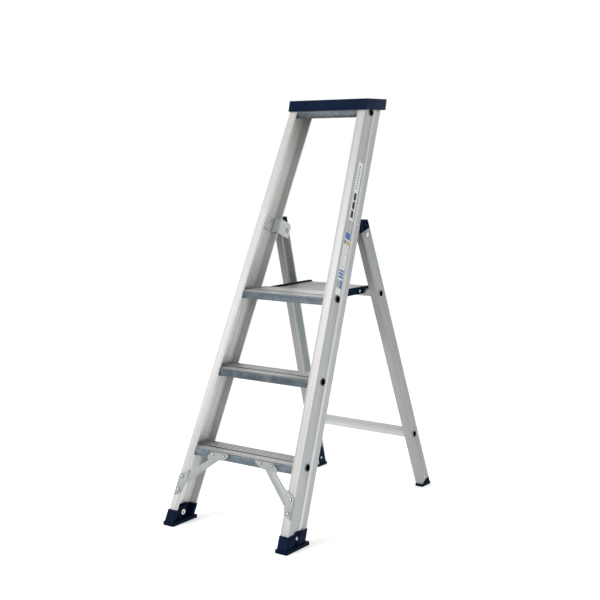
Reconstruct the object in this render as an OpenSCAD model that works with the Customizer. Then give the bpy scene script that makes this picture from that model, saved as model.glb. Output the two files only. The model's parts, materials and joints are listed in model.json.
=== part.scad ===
// Folding platform stepladder in extruded aluminium: two treads, a hinged platform,
// a moulded top cap, plastic feet and a rear frame that swings on two bracket pivots.
// Z is up from the floor, X runs across the ladder, and Y from the climbing side
// towards the rear frame. The origin is on the floor, at the middle of the footprint.
// The modules measure Y from the front edge of the stiles; in_place() centres the whole.

/* [Stance] */
// Lean of the front frame from the vertical, degrees
front_lean = 23.8; // [23.4:0.1:24.2]
// Lean of the rear frame from the vertical, degrees
rear_lean = 18.4; // [18:0.1:18.8]
// Half of the width over the stiles at the floor
front_half = 231; // [228:1:236]
// Half of the width over the rear legs at the floor
rear_half = 227; // [225:1:231]
// Angle by which each stile leans inwards, degrees
front_taper = 3.5; // [3.4:0.05:3.6]
// Angle by which each rear leg leans inwards, degrees
rear_taper = 3.4; // [3.3:0.05:3.5]

/* [Heights] */
// Height of the lowest tread tube above the floor
first_tube_h = 222; // [218:1:228]
// Vertical distance from one tread to the next
rise = 235; // [230:1:240]
// Height of the tube of the crossbar under the cap
top_tube_h = 1255; // [1250:1:1260]
// Height of the top of the cap
cap_top_h = 1298; // [1296:1:1302]

/* [Stiles] */
// Depth of the stile channel, front to rear
stile_d = 84; // [83:0.5:86]
// Width of the stile flanges
stile_f = 29; // [28:0.5:30]
// Wall of the stile channel
stile_t = 2.4; // [2:0.1:2.6]
// Depth of the tube holes behind the front of the stile
tube_v = 33; // [32:0.5:33.5]
// Depth of the middle of the double bead behind the front of the stile
rib_v = 51.4; // [51:0.1:53]
// Radius of each of the two beads along the web
bead_r = 3.3; // [3:0.1:3.4]
// Height of the beads above the web
rib_h = 2.6; // [2:0.1:2.8]

/* [Treads] */
// Distance from the front face of a tread to its tube
tread_front = 34.4; // [33:0.1:35]
// Distance from the tube to the rear edge of a tread
tread_rear = 50.3; // [48:0.1:51]
// Height of the rib tops above the tube
tread_top = 11.2; // [11:0.1:12]
// Depth of the front face below the tube
tread_drop = 16.3; // [15:0.1:17]
// Wall of the treads and bars
tread_t = 2.2; // [1.8:0.1:2.4]
// Distance between two anti-slip ribs
tread_pitch = 11; // [10:0.5:12]
// Outer radius of the tread tubes
tube_r = 10.3; // [10:0.1:10.5]
// Bore radius of the tread tubes
tube_bore = 8.6; // [8.2:0.1:8.8]
// Radius of the rolled end of a tube
flare_r = 11.8; // [11.4:0.1:12]
// Height of the rolled end of a tube
flare_h = 1.6; // [1:0.1:2]

/* [Rear frame] */
// Depth of the rear leg channel
leg_d = 48; // [47:0.5:50]
// Width of the rear leg flanges
leg_f = 24; // [23:0.5:26]
// Wall of the rear leg
leg_t = 2; // [1.8:0.1:2.4]
// Depth of the pivot and crossbar line behind the front of the leg
leg_v = 23.4; // [23:0.1:24]
// Height of the upper crossbar tube
upper_bar_h = 682.8; // [681:0.2:684]
// Height of the lower brace tube
lower_bar_h = 191; // [185:1:200]
// Outer radius of the upper crossbar
upper_bar_r = 12; // [11.8:0.1:12]

/* [Hinge] */
// Distance of the pivot from the floor, along the stile
hinge_u = 1012; // [1010:1:1014]
// Distance of the pivot behind the rear of the stile
hinge_back = 40.2; // [40:0.1:41]
// Radius of the pivot bolt
bolt_r = 4; // [3:0.5:5]
// Thickness of the hinge bracket plate
bracket_t = 3; // [2.5:0.1:3]

/* [Platform] */
// Outer face of the side cheeks from the middle
cheek_x = 128; // [124:1:129]
// Thickness of a side cheek
cheek_t = 6; // [5:0.5:7]
// Rear edge of the front board behind its pivot
front_board_rear = 70.6; // [69:0.1:72]
// Rear edge of the rear board behind the pivot
rear_board_rear = 290; // [286:1:292]

/* [Cap and feet] */
// Thickness of the cap's rim below the tray
cap_h = 34.4; // [33:0.1:36]
// Wall of the cap
cap_t = 3; // [2.5:0.1:3.5]
// Height of the front boots
boot_h = 46; // [44:1:50]
// Thickness of the front boot's sole
sole_t = 10; // [9:0.5:11]
// Thickness of the rear foot's sole
rear_sole_t = 9; // [8:0.5:10]

/* [Hidden] */
$fn = 64;
play = 0.1;        // gap between pieces that are pushed together
run = 0.05;        // radial clearance of a running fit
lip = 4.2;         // depth of the lips along the flange tips
big = 2000;        // longer than any piece

// A point at depth v behind the front of the stiles and height z in the world
function front_u(z, v) = (z + v * sin(front_lean)) / cos(front_lean);
function front_y(z, v) = front_u(z, v) * sin(front_lean) + v * cos(front_lean);
// Outer half width of each frame at distance u along it
function front_w(u) = front_half - u * tan(front_taper);
function rear_w(u) = rear_half - u * tan(rear_taper);

hinge_v = stile_d + hinge_back;
hinge_y = hinge_u * sin(front_lean) + hinge_v * cos(front_lean);
hinge_z = hinge_u * cos(front_lean) - hinge_v * sin(front_lean);
leg_hinge_u = (hinge_z - leg_v * sin(rear_lean)) / cos(rear_lean);
rear_y0 = hinge_y + leg_hinge_u * sin(rear_lean) - leg_v * cos(rear_lean);
function rear_u(z) = (z - leg_v * sin(rear_lean)) / cos(rear_lean);
function rear_y(z) = rear_y0 - rear_u(z) * sin(rear_lean) + leg_v * cos(rear_lean);

platform_h = first_tube_h + 2 * rise;
platform_y = front_y(platform_h, tube_v);
hook_y = rear_y(upper_bar_h) - platform_y;
hook_z = upper_bar_h - platform_h;
hinge_leg_x = rear_w(leg_hinge_u);
ear_x = front_w(hinge_u + 26) - stile_f - 0.3;
leg_end_u = leg_hinge_u + 13;
plug_top_z = hinge_z + 46;

// ---- Placing helpers ----
foot_front_y = -1.5;
foot_rear_y = rear_y0 + 49.5;
module in_place() translate([0, -(foot_front_y + foot_rear_y) / 2, 0]) children();
// Frame plane of the stiles: X across, Y behind the front face, Z along the slope
module front_frame() rotate([-front_lean, 0, 0]) children();
// Frame plane of the rear legs
module rear_frame() translate([0, rear_y0, 0]) rotate([rear_lean, 0, 0]) children();
// Outer face of the right stile or leg: X is zero on the web and negative inside
module stile_axis() front_frame() translate([front_half, 0, 0]) rotate([0, -front_taper, 0]) children();
module leg_axis() rear_frame() translate([rear_half, 0, 0]) rotate([0, -rear_taper, 0]) children();
module both_sides() {
    children();
    mirror([1, 0, 0]) children();
}
// Extrude a (y, z) outline along X
module along_x(x0, x1) translate([x0, 0, 0]) rotate([90, 0, 90]) linear_extrude(x1 - x0) children();
module x_cylinder(r, x0, x1) translate([x0, 0, 0]) rotate([0, 90, 0]) cylinder(r = r, h = x1 - x0);
// Keep only what lies between two heights
module between(z0, z1) intersection() {
    children();
    translate([-big / 2, -big / 2, z0]) cube([big, big, z1 - z0]);
}
// Everything between the inner faces of the two channels, c away from them
module front_span(c) front_frame() translate([0, 150, 0]) rotate([90, 0, 0]) linear_extrude(200)
    polygon([for (p = [[-1, 0], [1, 0], [1, 1500], [-1, 1500]])
        [p[0] * (front_w(p[1]) - stile_t - c), p[1]]]);
module rear_span(c) rear_frame() translate([0, 100, 0]) rotate([90, 0, 0]) linear_extrude(150)
    polygon([for (p = [[-1, 0], [1, 0], [1, 1000], [-1, 1000]])
        [p[0] * (rear_w(p[1]) - leg_t - c), p[1]]]);

// ---- Channels ----
module channel_profile(d, f, t, c) {
    translate([-t - c, -c]) square([t + 2 * c, d + 2 * c]);
    for (side = [0, 1]) translate([0, side * d]) mirror([0, side]) {
        translate([-f - c, -c]) square([f, t + 2 * c]);
        translate([-f - c, -c]) square([1.8 + 2 * c, lip + c]);
    }
}
recess_d = 1;        // depth of the recess on the inner side behind the rib
recess_w = 7.5;      // width of that recess
groove_w = 1.1;      // width of the groove along each flange
groove_d = 0.7;      // depth of that groove
groove_x = 3.2;      // distance of that groove from the flange tip
rib_w = 4 * bead_r - 0.6;
// Two round beads side by side along the web, c larger all round
module web_rib(c) intersection() {
    union() for (side = [-1, 1]) translate([rib_h - bead_r, rib_v + side * (bead_r - 0.3)])
        circle(r = bead_r + c);
    translate([-stile_t / 2, rib_v - rib_w]) square([10, 2 * rib_w]);
}
module plain_stile_profile(c) {
    channel_profile(stile_d, stile_f, stile_t, c);
    web_rib(c);
}
module stile_profile() difference() {
    plain_stile_profile(0);
    translate([-stile_t - 1, rib_v - recess_w / 2]) square([1 + recess_d, recess_w]);
    for (side = [0, 1]) translate([groove_x - stile_f, side * stile_d]) mirror([0, side])
        translate([0, -1]) square([groove_w, 1 + groove_d]);
}
module stile() color("gainsboro") difference() {
    between(sole_t, cap_top_h - 8) stile_axis() translate([0, 0, -60]) linear_extrude(1560)
        stile_profile();
    for (z = tube_heights()) at_front_tube(z) x_cylinder(tube_r + run, 0, big);
    at_bracket_rivets() x_cylinder(2.5, -20, 20);
    at_gusset_stile_rivets() rotate([90, 0, 0]) cylinder(r = 2.5, h = 30, center = true);
    at_foot_bolt() x_cylinder(4 + play, -20, 20);
}
function tube_heights() = [first_tube_h, first_tube_h + rise, platform_h, top_tube_h];
module at_front_tube(z) translate([0, front_y(z, tube_v), z]) children();

// ---- Tubes and bars ----
// Rolled end of a tube, seated square on a web that leans by the taper
module rolled_end() rotate_extrude() {
    square([flare_r - 0.7, flare_h]);
    square([flare_r, flare_h - 0.7]);
    translate([flare_r - 0.7, flare_h - 0.7]) circle(r = 0.7);
}
// Flared mouth that opens the bore through a rolled end
module flared_mouth(bore) translate([0, 0, -4])
    cylinder(r1 = bore - 1, r2 = tube_r + 0.2, h = 5 + flare_h);
module front_tube_end(z) front_frame()
    translate([front_w(front_u(z, tube_v)), tube_v, front_u(z, tube_v)])
        rotate([0, 90 - front_taper, 0]) children();
module rear_tube_end(z) rear_frame()
    translate([rear_w(rear_u(z)), leg_v, rear_u(z)]) rotate([0, 90 - rear_taper, 0]) children();

// Tube that runs through the webs and is rolled over outside them
module front_tube(z) difference() {
    union() {
        at_front_tube(z) x_cylinder(tube_r, -front_w(front_u(z, tube_v)) - 0.5,
            front_w(front_u(z, tube_v)) + 0.5);
        both_sides() front_tube_end(z) rolled_end();
    }
    at_front_tube(z) x_cylinder(tube_bore, -big / 2, big / 2);
    both_sides() front_tube_end(z) flared_mouth(tube_bore);
}

// Ribbed top with a smooth nose, a front face with a lower lip and a rear wall
nose_r = 4.8;        // outer radius of the nose
nose_y = -6.4;       // where the nose ends and the ribbed plate begins
nose_drop = 3;       // how far the nose falls below the ribbed plate
rib_top = 1.9;       // height of the anti-slip ribs
rib_crest = 6.4;     // width of a rib's crest
rear_wall = 18.5;    // depth of the rear wall below the plate
lip_h = 2.2;         // height of the lip at the foot of the front face
lip_out = 0.7;       // how far the lip stands out of the front face
function nose_arc(r, plate, angles) = [for (a = angles)
    [nose_r - tread_front - r * cos(a), plate - nose_drop - nose_r + r * sin(a)]];
module tread_profile(rear, ribs) {
    plate = tread_top - rib_top;
    polygon(concat(
        [[6 - tread_front, -tread_drop - lip_out], [-tread_front - lip_out, -tread_drop - lip_out],
            [-tread_front - lip_out, lip_h - tread_drop], [-tread_front, lip_h - tread_drop]],
        nose_arc(nose_r, plate, [0 : 15 : 90]),
        [[nose_y, plate]],
        [for (i = [ribs - 1 : -1 : 0]) each [
            [rear - rib_crest - i * tread_pitch, plate],
            [rear - rib_crest - i * tread_pitch + 0.4, tread_top],
            [rear - i * tread_pitch - 0.4, tread_top],
            [rear - i * tread_pitch, plate]]],
        [[rear, plate - tread_t], [rear - 2.2, plate - tread_t],
            [rear - 2.2, plate - rear_wall], [rear - 2.2 - tread_t, plate - rear_wall],
            [rear - 2.2 - tread_t, plate - tread_t], [nose_y, plate - tread_t]],
        nose_arc(nose_r - tread_t, plate, [90 : -15 : 0]),
        [[tread_t - tread_front, lip_h - tread_drop], [6 - tread_front, lip_h - tread_drop]]));
}
notch = 500;         // deeper than any piece reaches
module tread(z) {
    difference() {
        union() {
            difference() {
                intersection() {
                    at_front_tube(z) along_x(-300, 300) tread_profile(tread_rear, 5);
                    front_span(play);
                }
                both_sides() front_frame() flange_zone(notch);
            }
            front_tube(z);
        }
        at_front_tube(z) x_cylinder(tube_bore, -big / 2, big / 2);
    }
}
// Zones of the front and rear flanges with their lips, right side
module flange_zone(depth) {
    for (zone = [[-depth, lip + play], [stile_d - lip - play, stile_d + depth]])
        translate([0, zone[1], 0]) rotate([90, 0, 0]) linear_extrude(zone[1] - zone[0])
            polygon([[front_w(0) - stile_f - 0.5, 0], [front_w(0) + 60, 0],
                [front_w(1500) + 60, 1500], [front_w(1500) - stile_f - 0.5, 1500]]);
}
module tread_lower() color("silver") difference() {
    tread(first_tube_h);
    both_sides() at_gusset_tread_rivets() rotate([90, 0, 0])
        cylinder(r = 2.5, h = 12, center = true);
}
module tread_middle() color("silver") tread(first_tube_h + rise);

seam_w = 1.8;        // width of the groove along a bar's front face
seam_d = 1.3;        // depth of that groove
// Inverted channel around a tube, with a groove along its front face
module bar_profile(front, rear, top, drop) {
    difference() {
        translate([-front, -drop]) square([front + rear, top + drop]);
        translate([tread_t - front, -drop - 1])
            square([front + rear - 2 * tread_t, top + drop + 1 - tread_t]);
        translate([-front - 1, top - 6]) square([1 + seam_d, seam_w]);
    }
    translate([-front, -drop]) square([5, tread_t]);
    translate([rear - 5, -drop]) square([5, tread_t]);
    translate([-1.2, tube_bore + 0.6]) square([2.4, top - tube_bore - 1.6]);
}
module top_crossbar() color("silver") difference() {
    union() {
        difference() {
            intersection() {
                at_front_tube(top_tube_h) along_x(-300, 300) bar_profile(33, 26, 12, 13.8);
                front_span(play);
            }
            both_sides() front_frame() flange_zone(100);
        }
        front_tube(top_tube_h);
    }
    at_front_tube(top_tube_h) x_cylinder(tube_bore, -big / 2, big / 2);
}

// ---- Cap ----
cap_bottom_h = cap_top_h - cap_h;
cap_half = 151.2;
cap_side_t = 2.4;
tray_h = 6;          // depth of the tray in the cap
cap_web = 2.5;       // thickness of the ribs inside the cap
cap_mid_y = 612;     // front face of the lengthwise rib
tray_rim = 6;        // width of the rim in front of the tray and behind it
cap_slant = 0.235;   // how far the front and rear walls lean back per unit of height
cap_front_y = 553.3; // front wall at the cap's lower edge
cap_rear_y = 668;    // rear wall at the cap's lower edge
// Front and rear faces of the cap at height z
function cap_front(z) = cap_front_y + cap_slant * (z - cap_bottom_h);
function cap_rear(z) = cap_rear_y + cap_slant * (z - cap_bottom_h);
tray_front = cap_front(cap_top_h) + tray_rim;
tray_rear = cap_rear(cap_top_h - tray_h) - tray_rim;
function cap_outline(shrink, z0, z1) = [
    [cap_front(z0) + shrink, z0], [cap_front(z1) + shrink, z1],
    [cap_rear(z1) - shrink, z1], [cap_rear(z0) - shrink, z0]];
module cap_block(shrink, side, z0, z1) along_x(-cap_half + side, cap_half - side)
    polygon(cap_outline(shrink, z0, z1));
module top_cap() color("midnightblue") difference() {
    cap_block(0, 0, cap_bottom_h, cap_top_h);
    // tray with upright walls, inside the slanting front and rear walls
    translate([cap_t + 4 - cap_half, tray_front, cap_top_h - tray_h])
        cube([2 * (cap_half - cap_t - 4), tray_rear - tray_front, tray_h + 5]);
    difference() {
        cap_block(cap_t, cap_side_t, cap_bottom_h - 5, cap_top_h - tray_h - 2);
        for (x = [-100 : 50 : 100]) translate([x - cap_web / 2, 500, cap_bottom_h + 6])
            cube([cap_web, 300, cap_h]);
        translate([-120, cap_mid_y, cap_bottom_h + 6]) cube([240, cap_web, cap_h]);
    }
    cap_clearance();
}
// Room in the cap for the crossbar and the stile ends
module cap_clearance() {
    intersection() {
        at_front_tube(top_tube_h) along_x(-big / 2, big / 2)
            translate([-33.2, -30]) square([59.4, 42.2]);
        translate([cap_side_t - cap_half, 400, 1000])
            cube([2 * (cap_half - cap_side_t), 400, 400]);
    }
}

// ---- Front boots ----
boot_wall = 2.6;
rib_skin = 1.3;      // thickness of the boot over the stile's rib
block_x = 20;        // depth of the bolt block's face behind the web
sole_y = [foot_front_y, 112];
sole_out = 7;
sole_w = 43;
foot_bolt_u = 52.7;
foot_bolt_v = 38.5;
module at_foot_bolt() stile_axis() translate([0, foot_bolt_v, foot_bolt_u]) children();
module boot_body(x_in, x_out, v0, v1, top) between(1, top) stile_axis()
    translate([x_in, v0, -60]) cube([x_out - x_in, v1 - v0, 300]);
module front_foot() color("midnightblue") difference() {
    union() {
        translate([front_half + sole_out - sole_w, 0, 0]) linear_extrude(sole_t)
            polygon([[2, sole_y[0]], [sole_w - 3, sole_y[0]], [sole_w, sole_y[0] + 3],
                [sole_w, sole_y[1] - 3], [sole_w - 3, sole_y[1]], [2, sole_y[1]],
                [0, sole_y[1] - 2], [0, sole_y[0] + 2]]);
        boot_body(-stile_f - 1, boot_wall, -boot_wall, stile_d + boot_wall, boot_h);
        boot_body(-8, boot_wall, 26, 62, boot_h + 5);
        boot_body(-1, rib_h + rib_skin, rib_v - rib_w / 2 - 2.2, rib_v + rib_w / 2 + 3, boot_h + 5);
        between(1, boot_h + 14) stile_axis() translate([-8.5, 66, boot_h + 3])
            x_cylinder(13, 0, 8.5 - stile_t);
    }
    // slot for the stile
    between(sole_t, 200) stile_axis() translate([0, 0, -60]) linear_extrude(400)
        plain_stile_profile(play);
    // recess beside the bolt block, and the hollow behind it
    between(sole_t + 1, 200) stile_axis() {
        translate([-stile_f - 5, 7, -60]) cube([stile_f + 5 - block_x, 46, 400]);
        translate([-stile_f - 5, 52, -60]) cube([stile_f - 3.6, stile_d - 7 - 52, 400]);
    }
    // arched hollow at the rear of the inner wall
    between(sole_t + 1, 200) stile_axis() {
        translate([0, 66, boot_h + 3]) x_cylinder(10.5, -20, -5);
        translate([-20, 55.5, -60]) cube([15, 21, boot_h + 63]);
    }
    // pocket round the nut and below it on the outer side
    between(sole_t + 2, 33) stile_axis() translate([0.6, foot_bolt_v - 7, -60])
        cube([5, 11.6, 160]);
    at_foot_bolt() x_cylinder(6.2, 0.6, 30);
    // groove down the skin over the beads
    between(sole_t + 2, 200) stile_axis() translate([rib_h + rib_skin - 1, rib_v - 6.9, -60])
        cube([2, 2.6, 400]);
    at_foot_bolt() x_cylinder(4 + play, -30, 30);
    // tread grooves under the sole
    for (i = [1 : 7]) translate([0, i * 14, -1]) cube([400, 3, 3]);
}
module foot_bolts() color("silver") both_sides() at_foot_bolt() {
    x_cylinder(4, -block_x - 1, 3.4);
    difference() {
        x_cylinder(8.4, -block_x - 5.4, -block_x - 0.05);
        x_cylinder(4.2, -block_x - 6, -block_x - 2.4);
    }
}
module foot_nuts() color("silver") both_sides() at_foot_bolt() difference() {
    translate([0.7, 0, 0]) rotate([0, 90, 0]) cylinder(r = 5.6, h = 3.6, $fn = 6);
    x_cylinder(4 + play, -1, 10);
}

// ---- Gussets under the lowest tread ----
gusset_t = 3;
tread_face_y = front_y(first_tube_h, tube_v) - tread_front - 0.7;
gusset_top_z = first_tube_h + 5.5;
gusset_bend_z = first_tube_h - tread_drop - 0.6;
strap_lean = 29;
module at_gusset_stile_rivets() for (p = [[13.2, 156], [13.2, 115]])
    front_frame() translate([front_w(p[1]) - p[0], 0, p[1]]) children();
module at_gusset_tread_rivets() for (x = [71, 112])
    translate([x, tread_face_y, first_tube_h - 1.5])
    children();
// Plate in the stile plane, strap, and pad on the tread face: one bent sheet
module gusset() color("lightgray") difference() {
    union() {
        front_frame() translate([0, -0.05, 0]) rotate([90, 0, 0]) linear_extrude(gusset_t)
            polygon([[187, 180], [213, 164], [220, 158], [223, 97], [197, 111], [192.5, 131]]);
        intersection() {
            translate([0, 200, 0]) rotate([90, 0, 0]) linear_extrude(400)
                polygon([[86, gusset_bend_z + 2], [134, gusset_bend_z + 2], [130, 199], [184, 160],
                    [190.4, 162], [190.4, 125]]);
            translate([0, tread_face_y, gusset_bend_z]) rotate([-strap_lean, 0, 0])
                translate([0, -gusset_t - 0.05, -200]) cube([400, gusset_t, 200]);
        }
        translate([0, tread_face_y - 0.05, 0]) rotate([90, 0, 0]) linear_extrude(gusset_t)
            polygon([[53, gusset_top_z], [117, gusset_top_z], [134, 212], [134, gusset_bend_z - 1],
                [86, gusset_bend_z - 1], [70, gusset_bend_z + 1], [51, gusset_top_z - 6]]);
    }
    at_gusset_stile_rivets() rotate([90, 0, 0]) cylinder(r = 2.5, h = 30, center = true);
    at_gusset_tread_rivets() rotate([90, 0, 0]) cylinder(r = 2.5, h = 30, center = true);
}
// Domed rivet: head on -Y, shank through the sheet, flat tail behind
module dome_rivet(grip) {
    translate([0, -gusset_t - 0.1, 0]) rotate([90, 0, 0]) rotate_extrude()
        intersection() {
            translate([0, -3.4]) circle(r = 5.9);
            square([4.8, 4]);
        }
    rotate([90, 0, 0]) translate([0, 0, -grip - 0.1]) cylinder(r = 2.45, h = grip + gusset_t + 0.2);
    translate([0, grip + 0.05, 0]) rotate([-90, 0, 0]) cylinder(r = 3.2, h = 1.2);
}
module gusset_rivets() color("silver") both_sides() {
    at_gusset_stile_rivets() dome_rivet(stile_t);
    at_gusset_tread_rivets() dome_rivet(tread_t + 0.7);
}

// ---- Hinge brackets ----
bracket_half = 24;
flange_leg_v = stile_d - lip - 0.2;
bracket_rivets_at = [[18, 12], [36, -13], [68, 12]];
module at_bracket_rivets() for (p = bracket_rivets_at) stile_axis()
    translate([0, p[0], (hinge_u + p[1]) / cos(front_taper)]) children();
module hinge_bracket() color("darkgray") difference() {
    union() {
        // leg riveted to the inside of the web
        intersection() {
            stile_axis() translate([-stile_t - play - bracket_t, 8, 900])
                cube([bracket_t, flange_leg_v - 8, 200]);
            front_frame() translate([0, -50, hinge_u - bracket_half + 2])
                cube([400, 300, 2 * bracket_half - 4]);
        }
        // leg along the rear flange
        intersection() {
            front_frame() translate([ear_x - bracket_t, flange_leg_v - bracket_t, hinge_u - bracket_half + 2])
                cube([80, bracket_t, 2 * bracket_half - 4]);
            front_span(play);
        }
        // ear with the pivot hole
        front_frame() along_x(ear_x - bracket_t, ear_x) translate([0, hinge_u])
            polygon([[flange_leg_v - bracket_t, -bracket_half + 2], [stile_d + 2, -bracket_half],
                [hinge_v + 12, -bracket_half], [hinge_v + 12, bracket_half - 8],
                [hinge_v + 2, bracket_half], [stile_d + 2, bracket_half],
                [flange_leg_v - bracket_t, bracket_half - 2]]);
    }
    at_bracket_rivets() x_cylinder(2.5, -20, 20);
    at_hinge() x_cylinder(bolt_r + run, 0, big);
}
module at_hinge() translate([0, hinge_y, hinge_z]) children();
module bracket_rivets() color("silver") both_sides() at_bracket_rivets() {
    x_cylinder(2.45, -stile_t - play - bracket_t, 0);
    rotate([0, 90, 0]) cylinder(r1 = 4, r2 = 2.8, h = 1.1);
    translate([-stile_t - play - bracket_t - 1.3, 0, 0]) x_cylinder(4, 0, 1.3);
}
module hinge_bolts() color("silver") both_sides() at_hinge() {
    x_cylinder(bolt_r, ear_x - bracket_t - 1.1, hinge_leg_x + 3);
    difference() {
        translate([ear_x - bracket_t - 3.6, 0, 0]) x_cylinder(6.2, 0, 3.6);
        translate([ear_x - bracket_t - 4, 0, 0]) rotate([0, 90, 0]) cylinder(r = 3, h = 2.5, $fn = 6);
    }
    translate([hinge_leg_x + 2.4, 0, 0]) rotate([0, 90, 0]) cylinder(r1 = 6, r2 = 4.6, h = 1.6);
}
module hinge_washers() color("gainsboro") both_sides() at_hinge() difference() {
    x_cylinder(8.4, hinge_leg_x + 0.8, hinge_leg_x + 2.3);
    x_cylinder(bolt_r + run, 0, big);
}

// ---- Platform bushes, which carry the board in the stile webs ----
journal_len = 26;
module platform_bush() color("silver") {
    z = platform_h;
    u = front_u(z, tube_v);
    difference() {
        union() {
            at_front_tube(z) x_cylinder(tube_r, front_w(u) - stile_t - 1.6, front_w(u) + 0.5);
            at_front_tube(z) x_cylinder(tube_bore - run, front_w(u) - journal_len, front_w(u));
            front_tube_end(z) rolled_end();
        }
        at_front_tube(z) x_cylinder(tube_bore - 2, 0, big);
        front_tube_end(z) flared_mouth(tube_bore - 2);
    }
}

// ---- Rear frame ----
module leg_solid(c) leg_axis() translate([0, 0, -60]) linear_extrude(leg_end_u / cos(rear_taper) + 60)
    channel_profile(leg_d, leg_f, leg_t, c);
foot_arc_r = 62;     // round the web's cut-away corner
foot_arc_drop = 45;  // centre of the arc below the sole's top
// Centre of the arc that cuts the web away, from its front corner up to its rear edge
module at_foot_corner() translate([0, rear_y0 + leg_d * cos(rear_lean),
    rear_sole_t - foot_arc_drop]) children();
module rear_leg() color("lightslategray") difference() {
    between(rear_sole_t, 2000) leg_solid(0);
    at_foot_corner() x_cylinder(foot_arc_r, rear_half - leg_t - 12, big);
    at_rear_tube(lower_bar_h) x_cylinder(tube_r + run, 0, big);
    at_rear_tube(upper_bar_h) x_cylinder(tube_r + run, 0, big);
    at_hinge() x_cylinder(bolt_r + run, 0, big);
    at_rear_foot_rivet() x_cylinder(2.5, -40, 20);
}
module at_rear_tube(z) translate([0, rear_y(z), z]) children();
module rear_tube_ends(z) both_sides() rear_tube_end(z) rolled_end();
module rear_tube_mouths(z) both_sides() rear_tube_end(z) flared_mouth(tube_bore);
brace_half = 14;
brace_top = 13.5;
brace_drop = 9;
module lower_brace() color("gainsboro") {
    w = rear_w(rear_u(lower_bar_h));
    difference() {
        union() {
            intersection() {
                at_rear_tube(lower_bar_h) rotate([rear_lean, 0, 0]) along_x(-300, 300)
                    bar_profile(brace_half, brace_half, brace_top, brace_drop);
                rear_span(play);
            }
            at_rear_tube(lower_bar_h) x_cylinder(tube_r, -w - 0.5, w + 0.5);
            rear_tube_ends(lower_bar_h);
        }
        at_rear_tube(lower_bar_h) x_cylinder(tube_bore, -big / 2, big / 2);
        rear_tube_mouths(lower_bar_h);
    }
}
module upper_crossbar() color("silver") {
    w = rear_w(rear_u(upper_bar_h));
    difference() {
        union() {
            at_rear_tube(upper_bar_h) x_cylinder(upper_bar_r, -w + leg_t + 1, w - leg_t - 1);
            at_rear_tube(upper_bar_h) x_cylinder(tube_r, -w - 0.5, w + 0.5);
            rear_tube_ends(upper_bar_h);
        }
        at_rear_tube(upper_bar_h) x_cylinder(tube_bore, -big / 2, big / 2);
        rear_tube_mouths(upper_bar_h);
    }
}
// Plug in the top of a leg: its front face meets the stile and stops the opening
module leg_plug() color("midnightblue") difference() {
    intersection() {
        union() {
            between(hinge_z - 15, plug_top_z) leg_axis() translate([-leg_f, leg_t + play, 800])
                cube([leg_f - leg_t - play, leg_d - 2 * leg_t - 2 * play, 300]);
            intersection() {
                between(hinge_z - 15, plug_top_z) leg_axis() translate([-leg_f, 0, 800])
                    cube([leg_f, leg_d, 300]);
                rear_frame() translate([0, -50, leg_end_u + play]) cube([300, 200, 200]);
            }
            at_hinge() x_cylinder(8, ear_x + 0.6, hinge_leg_x - 5);
        }
        front_frame() translate([-300, stile_d + 0.35, 0]) cube([600, 300, 1400]);
    }
    // lips of the leg's flanges
    between(0, 1200) leg_solid(play);
    at_hinge() x_cylinder(bolt_r + run, 0, big);
    // pockets that leave crossed ribs on the outer side
    leg_axis() translate([-9, 0, leg_end_u + 2]) for (pocket = plug_pockets())
        along_x(0, 20) polygon(pocket);
}
function plug_pockets() = [
    [[10, 4], [38, 4], [24, 13]],
    [[44, 8], [44, 28], [30, 17]],
    [[10, 9], [22, 17], [13, 23]],
    [[26, 21], [40, 30], [34, 30], [19, 27]]];
module at_rear_foot_rivet() leg_axis() translate([0, 22.5, 27]) children();
module rear_foot() color("midnightblue") difference() {
    union() {
        between(0, rear_sole_t) translate([rear_half - leg_f - 1.5, foot_rear_y - 54, 0])
            cube([leg_f + 3.5, 54, rear_sole_t]);
        between(rear_sole_t - 1, 62) leg_axis() translate([-leg_f + 1, leg_t + play, -60])
            cube([leg_f - leg_t - play - 1, leg_d - 2 * leg_t - 2 * play, 200]);
        intersection() {
            between(rear_sole_t - 1, 60) leg_axis() translate([-leg_f + 1, 0, -60])
                cube([leg_f - 1, leg_d, 200]);
            at_foot_corner() x_cylinder(foot_arc_r - play, rear_half - leg_f, big);
        }
    }
    // legs of the channel: cut only where metal remains
    difference() {
        between(rear_sole_t - run, 200) leg_solid(play);
        at_foot_corner() x_cylinder(foot_arc_r - play, rear_half - leg_t - 12, big);
    }
    at_rear_foot_rivet() x_cylinder(2.5, -40, 20);
    // pockets between the radial ribs
    at_foot_corner() for (a = [11, 21, 31]) rotate([a, 0, 0])
        along_x(rear_half - 9, rear_half + 20)
            polygon([[-3.2, 51], [3.2, 51], [3.8, 58.6], [-3.8, 58.6]]);
}
module rear_foot_rivets() color("silver") both_sides() at_rear_foot_rivet() {
    x_cylinder(2.45, -leg_f + 0.9, 0);
    rotate([0, 90, 0]) rotate_extrude() intersection() {
        translate([0, -3.6]) circle(r = 5.9);
        square([4.6, 4]);
    }
    translate([-leg_f - 0.3, 0, 0]) x_cylinder(4, 0, 1.2);
}

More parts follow.
